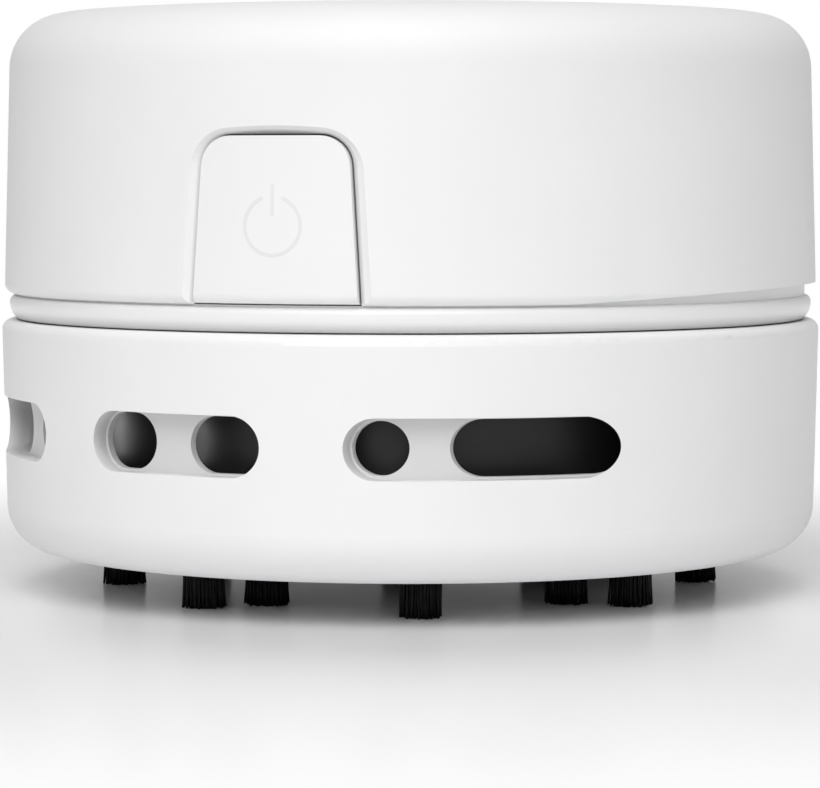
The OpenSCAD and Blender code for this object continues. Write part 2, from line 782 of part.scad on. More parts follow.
module battery_cell_1() color([0.75, 0.75, 0.77]) at_cell(1) cell();
module battery_cell_2() color([0.75, 0.75, 0.77]) at_cell(2) cell();

// contact plate behind a cell's end, with the bump that meets a nub
module contact_plate(bump) {
    translate([-contact_w / 2, contact_y - contact_t - fit, -contact_w / 2])
        cube([contact_w, contact_t, contact_w]);
    if (bump) translate([0, contact_y - fit - eps, 0]) rotate([90, 0, 0])
        cylinder(r = nub_r - 0.5, h = contact_room - 2 * fit - eps);
}

module contact_bridge() color("silver") {
    at_cell(1) contact_plate(true);
    at_cell(2) rotate([0, 0, 180]) contact_plate(false);
    translate([-cell_x, contact_y - contact_t - fit, z_cell - contact_w / 4])
        cube([2 * cell_x, contact_t, contact_w / 2]);
}

module contact_plus() color("silver") at_cell(2) contact_plate(true);
module contact_minus() color("silver") at_cell(1) rotate([0, 0, 180]) contact_plate(false);

// route of the conical spring between a contact plate and the flat end of a cell
function spring_route() = let (steps = spring_curls * 8, half = spring_wire / 2 + fit / 2,
        near = -cell_len / 2 - half, far = -contact_y + contact_t + fit + half)
    [for (i = [0:steps]) let (f = i / steps, r = spring_r * (1 - f / 2))
        [r * cos(45 * i), far + f * (near - far), r * sin(45 * i)]];

// least gap between the curls of a route, past half a curl along it
function least_gap(route, wire) = min([for (i = [0:len(route) - 5], j = [i + 4:len(route) - 1])
    norm(route[i] - route[j])]) - wire;

module contact_spring() {
    echo(least_gap_of_spring = least_gap(spring_route(), spring_wire));
    swept(spring_route(), spring_wire / 2, 6, [0, 1, 0]);
}

module contact_spring_1() color("silver") at_cell(1) contact_spring();
module contact_spring_2() color("silver") at_cell(2) contact_spring();

// ---------------------------------------------------------------- button and switch

// radius of the top housing's outside at height z, between its two rounds
function skin_r(z) = cap_r - cap_draft * (z - z_cap - lip_r) / (cap_h - lip_r - cap_edge_r);

// outline of the button seen from the front, grown by gx sideways and gz upwards
function key_outline(gx, gz) =
    let (slope = (key_w - key_top_w) / 2 / key_h, lean = atan(slope),
         r = key_corner + gx, top = z_key + key_h + gz, low = z_cap - 1,
         half = key_w / 2 + gx, foot_half = half + slope * (z_key - low),
         cx = half - slope * (key_h + gz) + r * (slope - 1 / cos(lean)),
         sweep = 90 - lean, n = 8)
    concat(
        [[-foot_half, low], [foot_half, low]],
        [for (i = [0:n]) let (a = lean + sweep * i / n) [cx + r * cos(a), top - r + r * sin(a)]],
        [for (i = [0:n]) let (a = 90 + sweep * i / n) [-cx + r * cos(a), top - r + r * sin(a)]]);

// prism of that outline, in front of the axis
module key_prism(g) {
    rotate([90, 0, 0]) linear_extrude(height = body_d) polygon(key_outline(g, g));
}

// bevelled rim of the button's opening: two outlines laid on the housing's skin
module key_bevel() {
    inner = key_outline(key_gap, key_gap);
    outer = key_outline(key_gap + 2 * bevel_w, key_gap + 2 * bevel_top);
    n = len(inner);
    middle = z_key + key_h / 2;
    on_skin = function (p, off) [p[0], -sqrt(pow(skin_r(p[1]) + off, 2) - p[0] * p[0]), p[1]];
    polyhedron(
        points = concat([for (p = inner) on_skin(p, -bevel_depth)], [for (p = outer) on_skin(p, bevel_depth)],
            [[0, -skin_r(middle) + bevel_depth, middle], [0, -skin_r(middle) - bevel_depth, middle]]),
        faces = [for (i = [0:n - 1]) let (j = (i + 1) % n)
            each [[2 * n, j, i], [2 * n + 1, n + i, n + j], [i, j, n + i], [j, n + j, n + i]]]);
}

module power_button() color("white") {
    flange_top = z_key + key_h + key_flange;
    intersection() {
        rotate_extrude() difference() {
            cap_outline();
            polygon([[0, z_cap], [key_back(z_cap), z_cap], [key_back(z_top), z_top], [0, z_top]]);
        }
        key_prism(0);
        translate([0, 0, z_key]) cylinder(r = body_d, h = cap_h);
    }
    // flange inside the housing
    intersection() {
        rotate_extrude() polygon([
            [key_back(z_key) - key_flange_t, z_key], [key_back(z_key) + eps, z_key],
            [key_back(flange_top) + eps, flange_top], [key_back(flange_top) - key_flange_t, flange_top]]);
        key_prism(key_flange);
    }
}

module switch_body() color([0.12, 0.12, 0.13]) {
    bore = plunger_w + 2 * fit;
    difference() {
        translate([-switch_w / 2, -switch_front, z_tray]) cube([switch_w, switch_len, switch_w]);
        translate([-bore / 2, -switch_front - 1, z_press - bore / 2])
            cube([bore, plunger_len - press, bore]);
    }
}

module switch_terminals() color("goldenrod") {
    for (s = [-1, 1]) translate([s * switch_w / 4 - 0.8, switch_len - switch_front, z_press])
        cube([1.6, 1.6, 0.4]);
}

module switch_plunger() color("white")
    translate([-plunger_w / 2, -plunger_tip, z_press - plunger_w / 2])
        cube([plunger_w, plunger_len, plunger_w]);

// ---------------------------------------------------------------- top housing

// outside of the top housing, from the axis
module cap_outline() {
    polygon([[0, z_cap], [cap_r - lip_r, z_cap], [cap_r, z_cap + lip_r],
             [cap_top_r, z_top - cap_edge_r], [cap_top_r - cap_edge_r, z_top], [0, z_top]]);
    translate([cap_r - lip_r, z_cap + lip_r]) circle(r = lip_r);
    translate([cap_top_r - cap_edge_r, z_top - cap_edge_r]) circle(r = cap_edge_r);
}

module top_housing() color("white") {
    in_top_r = cap_top_r - wall;
    in_edge = cap_edge_r - wall;
    difference() {
        rotate_extrude() difference() {
            cap_outline();
            polygon([[0, z_cap - 1], [skin_r(z_cap - 1) - wall, z_cap - 1], [in_top_r, z_top - cap_edge_r],
                     [in_top_r - in_edge, z_top - wall], [0, z_top - wall]]);
            translate([in_top_r - in_edge, z_top - cap_edge_r]) circle(r = in_edge);
        }
        // the lap over the chassis spigot, with the key left standing
        difference() {
            translate([0, 0, z_cap - 1]) cylinder(r = lap_r, h = spigot_h + 1 + seam);
            translate([-cap_key_w / 2, 0, z_cap + seam]) cube([cap_key_w, body_d, spigot_h + 4]);
        }
        key_prism(key_gap);
        key_bevel();
        // finger relief: a sloping cut under the edge
        rotate([0, 0, relief_dir - 90]) translate([relief_start, -body_d, z_cap]) rotate([0, -relief_tilt, 0])
            translate([0, 0, -5]) cube([body_d, 2 * body_d, 5]);
    }
    // ribs that keep the cells down
    for (s = [-1, 1]) translate([s * cell_x - 0.6, -cell_len / 4, z_cell + cell_d / 2 + seam])
        cube([1.2, cell_len / 2, z_top - wall - z_cell - cell_d / 2 - seam + eps]);
}

// ---------------------------------------------------------------- leads

module lead(route, up) {
    swept(cut_corners(cut_corners(route)), lead_d / 2, 8, up);
}

module lead_battery() color("firebrick") lead(battery_route, [0, 1, 0]);
module lead_switch() color("firebrick") lead(switch_route, [1, 0, 0]);
module lead_motor() color([0.1, 0.1, 0.1]) lead(motor_route, [1, 0, 0]);

// ---------------------------------------------------------------- nodes

lower_housing();
dust_cup();
inlet_nozzle();
for (i = [1:len(outer_places())])
    tuft(outer_places()[i - 1]);
for (i = [1:len(inner_places())])
    tuft(inner_places()[i - 1]);
filter_basket();
filter_pad();
cup_seal();
chassis();
fan_lid();
fan_impeller();
motor_shaft();
motor_bush();
motor_can();
motor_end_cap();
motor_terminals();
motor_screws();
battery_tray();
tray_screws();
battery_cell_1();
battery_cell_2();
contact_bridge();
contact_plus();
contact_minus();
contact_spring_1();
contact_spring_2();
switch_body();
switch_terminals();
switch_plunger();
power_button();
top_housing();
lead_battery();
lead_switch();
lead_motor();
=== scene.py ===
# %% [markdown]
# # A desktop mini vacuum cleaner
# The cleaner is a short white drum that stands on black brush tufts. Its solids come from the
# CAD model, already at their real size and place, and this script dresses them: it gives every
# solid a finish, swaps the plain tufts for real bristles, prints the power symbol on the
# button, and sets up the studio. Everything is in metres, and +Z is up.

# %% The fixed frame
import math

import bmesh
import bpy
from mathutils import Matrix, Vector


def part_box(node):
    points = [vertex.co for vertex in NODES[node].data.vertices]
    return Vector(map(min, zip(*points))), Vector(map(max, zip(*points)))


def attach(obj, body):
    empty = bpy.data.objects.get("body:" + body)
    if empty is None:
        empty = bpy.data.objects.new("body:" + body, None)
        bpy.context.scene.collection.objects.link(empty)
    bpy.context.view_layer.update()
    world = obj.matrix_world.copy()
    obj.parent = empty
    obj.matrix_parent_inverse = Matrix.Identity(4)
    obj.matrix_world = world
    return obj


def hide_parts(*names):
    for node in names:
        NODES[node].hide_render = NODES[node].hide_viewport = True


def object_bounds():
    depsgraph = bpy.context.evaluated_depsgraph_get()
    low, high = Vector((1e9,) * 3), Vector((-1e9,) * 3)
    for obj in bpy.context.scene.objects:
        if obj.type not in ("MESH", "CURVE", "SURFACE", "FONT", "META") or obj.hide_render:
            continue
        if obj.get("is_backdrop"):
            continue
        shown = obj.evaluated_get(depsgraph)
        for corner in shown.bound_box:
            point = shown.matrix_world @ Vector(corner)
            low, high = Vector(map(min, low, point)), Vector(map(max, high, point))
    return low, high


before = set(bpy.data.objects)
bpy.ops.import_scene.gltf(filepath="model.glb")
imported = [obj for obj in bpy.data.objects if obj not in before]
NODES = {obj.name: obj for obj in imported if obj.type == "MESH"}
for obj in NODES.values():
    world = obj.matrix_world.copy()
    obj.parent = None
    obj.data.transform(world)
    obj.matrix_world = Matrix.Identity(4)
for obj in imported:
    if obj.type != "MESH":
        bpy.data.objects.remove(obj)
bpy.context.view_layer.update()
MM = 0.001

# %% [markdown]
# ## The camera
# The photograph was taken with a long lens from just above the middle of the drum, a little to
# the right of the button. A long lens keeps the drum's sides almost straight. The place and the
# lens were worked out from the ellipses of the two housings' edges, so they are set as numbers.

# %% Camera
lens = bpy.data.cameras.new("long_lens")
lens.sensor_width, lens.lens = 36, 159.8
camera = bpy.data.objects.new("camera", lens)
camera.location = (0.1176, -0.3627, 0.0436)
camera.rotation_euler = (math.radians(86.43), 0, math.radians(17.97))
bpy.context.scene.collection.objects.link(camera)
bpy.context.scene.camera = camera
print("camera height in mm:", round(camera.location.z / MM, 1))

# %% [markdown]
# ## The studio
# White plastic shows its shape only by soft changes of light, so the light matters more here
# than any texture. The room is dark, with soft glows on it: two in front of the drum, one
# overhead, and a pale one behind. The dark sides make the drum's edges fall off to a light grey.
# Such a room needs no lamps and gives no noise. The glows' places and strengths were fitted to
# the brightness of the photograph. The camera itself sees plain white behind the object.

# %% Room light
# turn from the button's side, height, how narrow, strength
GLOWS = ((8, 30, 0.3, 0.3), (10, 30, 0.8, 1.2), (8, 55, 0.8, 2.8), (0, 90, 0.9, 1.1), (184, 10, 0.1, 0.6))


def toward(turn, rise):
    """The direction of a glow, from its turn about the axis and its height, in degrees."""
    turn, rise = math.radians(turn), math.radians(rise)
    return math.cos(rise) * math.sin(turn), -math.cos(rise) * math.cos(turn), math.sin(rise)


def room_light(glows):
    """A dark world with soft round glows, which the camera sees as plain white."""
    world = bpy.data.worlds.new("white_room")
    world.use_nodes = True
    tree = world.node_tree
    tree.nodes.clear()
    add, link = tree.nodes.new, tree.links.new
    way = add("ShaderNodeTexCoord").outputs["Generated"]
    total = None
    for turn, rise, edge, strength in glows:
        facing = add("ShaderNodeVectorMath")
        facing.operation = "DOT_PRODUCT"
        facing.inputs[1].default_value = toward(turn, rise)
        link(way, facing.inputs[0])
        glow = add("ShaderNodeMapRange")
        glow.interpolation_type = "SMOOTHSTEP"
        glow.inputs["From Min"].default_value = edge
        glow.inputs["To Max"].default_value = strength
        link(facing.outputs["Value"], glow.inputs["Value"])
        if total is None:
            total = glow.outputs["Result"]
            continue
        both = add("ShaderNodeMath")
        link(total, both.inputs[0])
        link(glow.outputs["Result"], both.inputs[1])
        total = both.outputs[0]
    lit, seen, sight, either, out = (add("ShaderNode" + kind) for kind in (
        "Background", "Background", "LightPath", "MixShader", "OutputWorld"))
    link(total, lit.inputs["Color"])
    seen.inputs["Color"].default_value = (1, 1, 1, 1)
    link(sight.outputs["Is Camera Ray"], either.inputs["Fac"])
    link(lit.outputs[0], either.inputs[1])
    link(seen.outputs[0], either.inputs[2])
    link(either.outputs[0], out.inputs["Surface"])
    bpy.context.scene.world = world


room_light(GLOWS)
bpy.context.scene.view_settings.view_transform = "Standard"
print("glows in the room:", len(GLOWS))

# %% [markdown]
# A small soft box stands on the table, low on the left. The cup behind the outlets is satin
# black, and it shows that box as the grey sheen in the left outlet. The box lights nothing
# but the cup, because light linking gives it a list of the pieces that it reaches.

# %% Soft box on the left
BOX_AT, BOX_SIZE, BOX_WATTS = (-0.2, -0.075, 0.02), (0.2, 0.06), 0.3


def soft_box(name, place, aim, size, watts, lit):
    """A rectangular lamp at place that faces the point aim and lights only the objects in lit."""
    lamp = bpy.data.lights.new(name, "AREA")
    lamp.shape, (lamp.size, lamp.size_y), lamp.energy = "RECTANGLE", size, watts
    box = bpy.data.objects.new(name, lamp)
    box.location = place
    box.rotation_euler = (Vector(aim) - Vector(place)).to_track_quat("-Z", "Y").to_euler()
    reached = bpy.data.collections.new(name + "_reaches")
    for piece in lit:
        reached.objects.link(piece)
    box.light_linking.receiver_collection = reached
    bpy.context.scene.collection.objects.link(box)
    return box


left_box = soft_box("left_soft_box", BOX_AT, (0, 0, 0.018), BOX_SIZE, BOX_WATTS, [NODES["dust_cup"]])
print("left soft box at", [round(v, 2) for v in left_box.location])

# %% [markdown]
# ## The table top
# The drum stands on a white glossy sheet. A faint gloss gives the tufts a short reflection, and
# the room's light makes the dark contact shadow by itself. Away from the drum the sheet turns
# into plain white light, so that it meets the white background with no horizon.

# %% Table top
FLOOR_R = 0.5
FADE_FROM, FADE_TO = 0.05, 0.15


def table_finish():
    """White gloss near the middle, plain white light further out."""
    mat = bpy.data.materials.new("white_sheet")
    mat.use_nodes = True
    tree = mat.node_tree
    add, link = tree.nodes.new, tree.links.new
    gloss = tree.nodes["Principled BSDF"]
    gloss.inputs["Base Color"].default_value = (0.93, 0.93, 0.94, 1)
    gloss.inputs["Roughness"].default_value = 0.22
    where = add("ShaderNodeTexCoord")
    flat = add("ShaderNodeVectorMath")
    flat.operation = "LENGTH"
    link(where.outputs["Object"], flat.inputs[0])
    fade = add("ShaderNodeMapRange")
    fade.interpolation_type = "SMOOTHSTEP"
    fade.inputs["From Min"].default_value = FADE_FROM
    fade.inputs["From Max"].default_value = FADE_TO
    link(flat.outputs["Value"], fade.inputs["Value"])
    white = add("ShaderNodeEmission")
    both = add("ShaderNodeMixShader")
    link(fade.outputs["Result"], both.inputs["Fac"])
    link(gloss.outputs[0], both.inputs[1])
    link(white.outputs[0], both.inputs[2])
    link(both.outputs[0], tree.nodes["Material Output"].inputs["Surface"])
    return mat


sheet = bmesh.new()
bmesh.ops.create_circle(sheet, cap_ends=True, radius=FLOOR_R, segments=96)
sheet_mesh = bpy.data.meshes.new("table_top")
sheet.to_mesh(sheet_mesh)
sheet.free()
table_top = bpy.data.objects.new("table_top", sheet_mesh)
table_top.data.materials.append(table_finish())
bpy.context.scene.collection.objects.link(table_top)
table_top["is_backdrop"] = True
print("table top radius in m:", FLOOR_R)

# %% [markdown]
# ## Finishes
# Every finish starts from one shader and the object coordinates of the piece. A piece's object
# sits at the origin, so these coordinates are metres in the drum's own frame, and a pattern
# keeps its real scale on every piece. One helper makes a noise of a given grain size.

# %% Helpers for finishes


def new_finish(name, **sockets):
    """A material with one Principled shader whose named sockets are set, and its patterns' coordinates."""
    mat = bpy.data.materials.new(name)
    mat.use_nodes = True
    shader = mat.node_tree.nodes["Principled BSDF"]
    for socket, value in sockets.items():
        shader.inputs[socket.replace("_", " ")].default_value = value
    where = mat.node_tree.nodes.new("ShaderNodeTexCoord")
    return mat, shader, where.outputs["Object"]


def grain(mat, where, size_mm, stretch=(1, 1, 1), detail=3.0):
    """A noise from 0 to 1 whose features are about size_mm across, drawn out along an axis by stretch."""
    tree = mat.node_tree
    turn = tree.nodes.new("ShaderNodeMapping")
    turn.inputs["Scale"].default_value = [1 / (size_mm * MM * s) for s in stretch]
    noise = tree.nodes.new("ShaderNodeTexNoise")
    noise.inputs["Scale"].default_value = 1.0
    noise.inputs["Detail"].default_value = detail
    tree.links.new(where, turn.inputs["Vector"])
    tree.links.new(turn.outputs["Vector"], noise.inputs["Vector"])
    return noise.outputs["Fac"]


def between(mat, value, low, high, target):
    """Spreads the middle of a noise over low to high, and plugs it into a number socket."""
    spread = mat.node_tree.nodes.new("ShaderNodeMapRange")
    for socket, number in (("From Min", 0.3), ("From Max", 0.7), ("To Min", low), ("To Max", high)):
        spread.inputs[socket].default_value = number
    mat.node_tree.links.new(value, spread.inputs["Value"])
    mat.node_tree.links.new(spread.outputs["Result"], target)


def tinted(mat, value, first, second, target, low=0.35, high=0.65):
    """Blends two colours by a value, and plugs the result into a colour socket."""
    ramp = mat.node_tree.nodes.new("ShaderNodeValToRGB")
    ramp.color_ramp.elements[0].position, ramp.color_ramp.elements[1].position = low, high
    ramp.color_ramp.elements[0].color, ramp.color_ramp.elements[1].color = (*first, 1), (*second, 1)
    mat.node_tree.links.new(value, ramp.inputs["Fac"])
    mat.node_tree.links.new(ramp.outputs["Color"], target)


def relief(mat, value, depth_mm, target, strength=1.0):
    """A bump of the given depth from a value."""
    bump = mat.node_tree.nodes.new("ShaderNodeBump")
    bump.inputs["Strength"].default_value = strength
    bump.inputs["Distance"].default_value = depth_mm * MM
    mat.node_tree.links.new(value, bump.inputs["Height"])
    mat.node_tree.links.new(bump.outputs["Normal"], target)


print("helpers ready, unit:", MM, "m")

# %% [markdown]
# ### Moulded plastics
# The shells are matt white plastic from a spark-eroded mould: a very fine grain that breaks up
# the highlights, and hardly any change of colour. The ring, the cup and the inner parts come
# from smoother moulds. All of them are one recipe with other numbers: a slow change of colour,
# a change of roughness, and a fine grain.

# %% Moulded plastics


def moulded(name, light, dark, matt, shine, grain_mm, grain_depth_mm, **sockets):
    """Injection-moulded plastic: two close colours, two roughnesses, and a fine grain."""
    mat, shader, where = new_finish(name, **sockets)
    tinted(mat, grain(mat, where, 14), dark, light, shader.inputs["Base Color"])
    between(mat, grain(mat, where, 3), matt, shine, shader.inputs["Roughness"])
    relief(mat, grain(mat, where, grain_mm, detail=5.0), grain_depth_mm, shader.inputs["Normal"])
    return mat


white_shell = moulded("white_shell_plastic", (0.88, 0.88, 0.88), (0.865, 0.865, 0.868),
                      0.52, 0.44, 0.16, 0.004, Specular_IOR_Level=0.45)
smooth_white = moulded("smooth_white_plastic", (0.9, 0.9, 0.9), (0.885, 0.885, 0.888),
                       0.34, 0.28, 0.3, 0.002, Specular_IOR_Level=0.5)
cup_black = moulded("cup_black_plastic", (0.022, 0.021, 0.022), (0.016, 0.015, 0.016),
                    0.44, 0.38, 1.5, 0.002, Specular_IOR_Level=0.5)
frame_black = moulded("satin_black_plastic", (0.035, 0.035, 0.038), (0.022, 0.022, 0.024),
                      0.5, 0.4, 0.25, 0.006)
frame_grey = moulded("satin_grey_plastic", (0.5, 0.5, 0.515), (0.46, 0.46, 0.475),
                     0.46, 0.38, 0.25, 0.005)
print("moulded plastics:", [m.name for m in (white_shell, smooth_white, cup_black, frame_black, frame_grey)])

# %% [markdown]
# ### Painted shade
# Three places on the white pieces are in half shade on the real object: the lower curve of the
# ring, the floors of the outlets' pockets, and the gap round the button. The studio's soft light
# alone leaves them too pale, so their shade is painted into the colour: the finish itself is
# greyer there. A place is described by bands of distance from the axis, of height and of width,
# because the pieces are round. The upper shell is a slight cone, so its band leans with it.

# %% Helper for painted shade


def shade(mat, colour, lean, bands):
    """Paints shade into a shell's colour: greys it where a point is inside every band. A band gives
    what is measured, its middle, its half width and its soft edge, in mm; lean is how fast the shell's
    radius falls with height."""
    tree = mat.node_tree
    add, link = tree.nodes.new, tree.links.new
    shader = tree.nodes["Principled BSDF"]
    plain = shader.inputs["Base Color"].links[0].from_socket
    where = add("ShaderNodeTexCoord").outputs["Object"]
    flat, radius, parts = (add("ShaderNode" + kind) for kind in ("VectorMath", "VectorMath", "SeparateXYZ"))
    flat.operation, radius.operation = "MULTIPLY", "LENGTH"
    flat.inputs[1].default_value = (1, 1, 0)
    upright = add("ShaderNodeMath")
    upright.operation = "MULTIPLY_ADD"
    upright.inputs[1].default_value = lean
    for source, target in ((where, flat.inputs[0]), (flat.outputs["Vector"], radius.inputs[0]),
                           (where, parts.inputs[0]), (parts.outputs["Z"], upright.inputs[0]),
                           (radius.outputs["Value"], upright.inputs[2])):
        link(source, target)
    measured = {"radius": upright.outputs[0], "x": parts.outputs["X"], "z": parts.outputs["Z"]}
    outside = None
    for what, middle, half, soft in bands:
        step, size, share = add("ShaderNodeMath"), add("ShaderNodeMath"), add("ShaderNodeMapRange")
        step.operation, size.operation = "SUBTRACT", "ABSOLUTE"
        step.inputs[1].default_value = middle * MM
        share.inputs["From Min"].default_value = half * MM
        share.inputs["From Max"].default_value = (half + soft) * MM
        link(measured[what], step.inputs[0])
        link(step.outputs[0], size.inputs[0])
        link(size.outputs[0], share.inputs["Value"])
        if outside is None:
            outside = share.outputs["Result"]
            continue
        most = add("ShaderNodeMath")
        most.operation = "MAXIMUM"
        link(outside, most.inputs[0])
        link(share.outputs["Result"], most.inputs[1])
        outside = most.outputs[0]
    mix = add("ShaderNodeMix")
    mix.data_type = "RGBA"
    link(outside, mix.inputs["Factor"])
    mix.inputs["A"].default_value = (*colour, 1)
    link(plain, mix.inputs["B"])
    link(mix.outputs["Result"], shader.inputs["Base Color"])


print("a band is: what is measured, middle, half width, soft edge")

# %% Painted shade on three places
CAP_R, CAP_LEAN, CAP_FOOT = 42.2, 0.6 / 22.1, 31.6
# heights and the button gap's radius where the painted shade lies, in mm
RING_FOOT, OUTLET_Z, BUTTON_Z, GAP_R = 28.0, 17.2, 42.5, 40.75

# painted shade: the ring's lower curve turns greyer towards its foot
shade(smooth_white, (0.6, 0.6, 0.6), 0.0,
      (("radius", 42.5, 2.5, 0.3), ("z", RING_FOOT - 0.5, 0.55, 1.0)))
# painted shade: the floors of the outlets' recessed pockets are greyer
shade(white_shell, (0.72, 0.715, 0.72), 0.0, (("radius", 38.0, 2.5, 1.6), ("z", OUTLET_Z, 3.9, 1.0)))
# painted shade: a grey strip on the bevel next to the gap round the button
shade(white_shell, (0.5, 0.5, 0.5), CAP_LEAN,
      (("radius", GAP_R + CAP_LEAN * CAP_FOOT, 0.73, 0.32), ("z", BUTTON_Z, 11.6, 0.2),
       ("x", 0.0, 10.4, 0.2)))
print("shaded places, heights in mm:", RING_FOOT, OUTLET_Z, BUTTON_Z)

# %% [markdown]
# ### Metals
# The motor can is drawn steel, so its brushing runs round it, the contacts and springs are
# nickel plated, and the bush and the terminals are brass. Stretching a noise along one axis
# turns its spots into brush lines.

# %% Metals


def metal(name, light, dark, rough, smooth, stretch, line_mm=0.12):
    """A bare metal with brush lines drawn out along the axes that stretch makes long."""
    mat, shader, where = new_finish(name, Metallic=1.0)
    lines = grain(mat, where, line_mm, stretch)
    tinted(mat, grain(mat, where, 4), dark, light, shader.inputs["Base Color"])
    between(mat, lines, rough, smooth, shader.inputs["Roughness"])
    relief(mat, lines, 0.004, shader.inputs["Normal"])
    return mat


steel = metal("drawn_steel", (0.62, 0.62, 0.63), (0.52, 0.52, 0.54), 0.38, 0.24, (30, 30, 1))
nickel = metal("nickel_plate", (0.7, 0.69, 0.66), (0.6, 0.59, 0.56), 0.28, 0.16, (1, 20, 1))
brass = metal("brass", (0.72, 0.5, 0.2), (0.6, 0.4, 0.16), 0.36, 0.22, (12, 12, 1))
print("metals:", steel.name, nickel.name, brass.name)

# %% [markdown]
# ### The cells' jacket
# A cell wears a printed film over its steel can: silver, with a dark blue band at the positive
# end. The cells lie along Y, head to tail, so the side of the drum that a point is on says
# which end is positive there. The bare steel ends show no film.

# %% Cell jacket
CELL_HALF = 0.02425
BAND_FROM = 0.0125


def cell_jacket():
    """Silver film with a blue band towards the nub, and bare metal on both ends."""
    mat, shader, where = new_finish("cell_film", Metallic=0.75, Coat_Weight=0.35, Coat_Roughness=0.12)
    tree = mat.node_tree
    add, link = tree.nodes.new, tree.links.new
    parts = add("ShaderNodeSeparateXYZ")
    link(where, parts.inputs[0])
    side, along = add("ShaderNodeMath"), add("ShaderNodeMath")
    side.operation, along.operation = "SIGN", "MULTIPLY"
    link(parts.outputs["X"], side.inputs[0])
    link(side.outputs[0], along.inputs[0])
    link(parts.outputs["Y"], along.inputs[1])
    place = add("ShaderNodeMapRange")
    place.inputs["From Min"].default_value, place.inputs["From Max"].default_value = -CELL_HALF, CELL_HALF
    link(along.outputs[0], place.inputs["Value"])
    bands = add("ShaderNodeValToRGB")
    bands.color_ramp.interpolation = "CONSTANT"
    edge = (BAND_FROM + CELL_HALF) / (2 * CELL_HALF)
    bare, silver, blue = (0.55, 0.55, 0.56, 1), (0.42, 0.43, 0.45, 1), (0.02, 0.05, 0.16, 1)
    bands.color_ramp.elements[0].color = bare
    bands.color_ramp.elements[1].position, bands.color_ramp.elements[1].color = 0.012, silver
    for at, colour in ((edge, blue), (0.985, bare)):
        bands.color_ramp.elements.new(at).color = colour
    link(place.outputs["Result"], bands.inputs["Fac"])
    link(bands.outputs["Color"], shader.inputs["Base Color"])
    between(mat, grain(mat, where, 0.6, (1, 12, 1)), 0.34, 0.24, shader.inputs["Roughness"])
    relief(mat, grain(mat, where, 2.5, (1, 4, 1)), 0.01, shader.inputs["Normal"])
    return mat


cell_film = cell_jacket()
print("band starts", BAND_FROM / MM, "mm from the middle of a cell")

# %% [markdown]
# ### Soft finishes
# Bristles are black nylon with a soft sheen along each strand. The filter is white felt, whose
# fibres show as a matted relief. Rubber and cable jackets are matt, with a slow bloom.

# %% Nylon, felt, rubber and cable jackets


def soft_finish(name, light, dark, matt, shine, grain_mm, depth_mm, stretch=(1, 1, 1), **sockets):
    """A soft surface: two colours and a relief from one grain, roughness from a slower one."""
    mat, shader, where = new_finish(name, **sockets)
    fine = grain(mat, where, grain_mm, stretch, detail=6.0)
    tinted(mat, fine, dark, light, shader.inputs["Base Color"])
    between(mat, grain(mat, where, 2.0), matt, shine, shader.inputs["Roughness"])
    relief(mat, fine, depth_mm, shader.inputs["Normal"])
    return mat


nylon = soft_finish("bristle_nylon", (0.007, 0.007, 0.0075), (0.002, 0.002, 0.002), 0.55, 0.42,
                    0.12, 0.004, (1, 1, 12), Specular_IOR_Level=0.25)
felt = soft_finish("filter_felt", (0.78, 0.78, 0.75), (0.55, 0.55, 0.52), 0.98, 0.88,
                   0.14, 0.05, Sheen_Weight=0.4, Sheen_Roughness=0.5)
rubber = soft_finish("seal_rubber", (0.03, 0.03, 0.03), (0.018, 0.018, 0.019), 0.85, 0.7, 0.2, 0.008)
red_jacket = soft_finish("red_cable_jacket", (0.5, 0.03, 0.025), (0.42, 0.022, 0.02), 0.42, 0.34, 0.3, 0.003)
black_jacket = soft_finish("black_cable_jacket", (0.02, 0.02, 0.021), (0.012, 0.012, 0.013),
                           0.42, 0.34, 0.3, 0.003)
print("soft finishes:", [m.name for m in (nylon, felt, rubber, red_jacket, black_jacket)])

# %% [markdown]
# ## Bristles
# Each tuft is a bundle of black nylon strands pressed into a socket under the drum. A strand
# repeats hundreds of times, so Geometry Nodes make it once: points on a seed-head spiral, a
# thin strand on each, and a bend that grows towards the tips, so that the bundle opens out a
# little where it meets the table. A few strands stray. The seed is the tuft's own number.

# %% The bristle tree


class Steps:
    """Adds nodes to a geometry tree, with their inputs given as values or as links."""

    def __init__(self, name):
        self.tree = bpy.data.node_groups.new(name, "GeometryNodeTree")
        self.tree.interface.new_socket("Geometry", in_out="INPUT", socket_type="NodeSocketGeometry")
        self.tree.interface.new_socket("Geometry", in_out="OUTPUT", socket_type="NodeSocketGeometry")
        self.group_in = self.tree.nodes.new("NodeGroupInput")
        self.group_out = self.tree.nodes.new("NodeGroupOutput")

    def ask(self, name, kind):
        """A named input of the tree."""
        self.tree.interface.new_socket(name, in_out="INPUT", socket_type="NodeSocket" + kind)
        return self.group_in.outputs[name]

    def put(self, kind, settings=None, **inputs):
        """A node of that kind; an input is named, or numbered as i0, i1 and so on."""
        node = self.tree.nodes.new(kind)
        for name, value in (settings or {}).items():
            setattr(node, name, value)
        for name, value in inputs.items():
            numbered = name[0] == "i" and name[1:].isdigit()
            socket = node.inputs[int(name[1:]) if numbered else name.replace("_", " ")]
            if isinstance(value, bpy.types.NodeSocket):
                self.tree.links.new(value, socket)
            else:
                socket.default_value = value
        return node

    def sum(self, operation, first, second=0.0):
        """Arithmetic on two numbers."""
        return self.put("ShaderNodeMath", {"operation": operation}, i0=first, i1=second).outputs[0]


# angle between strands in radians, how far tips stray in m, and shares of the full length
GOLDEN_TURN, STRAY, SHORTEST, LONGEST = 2.39996, 0.00022, 0.955, 1.02


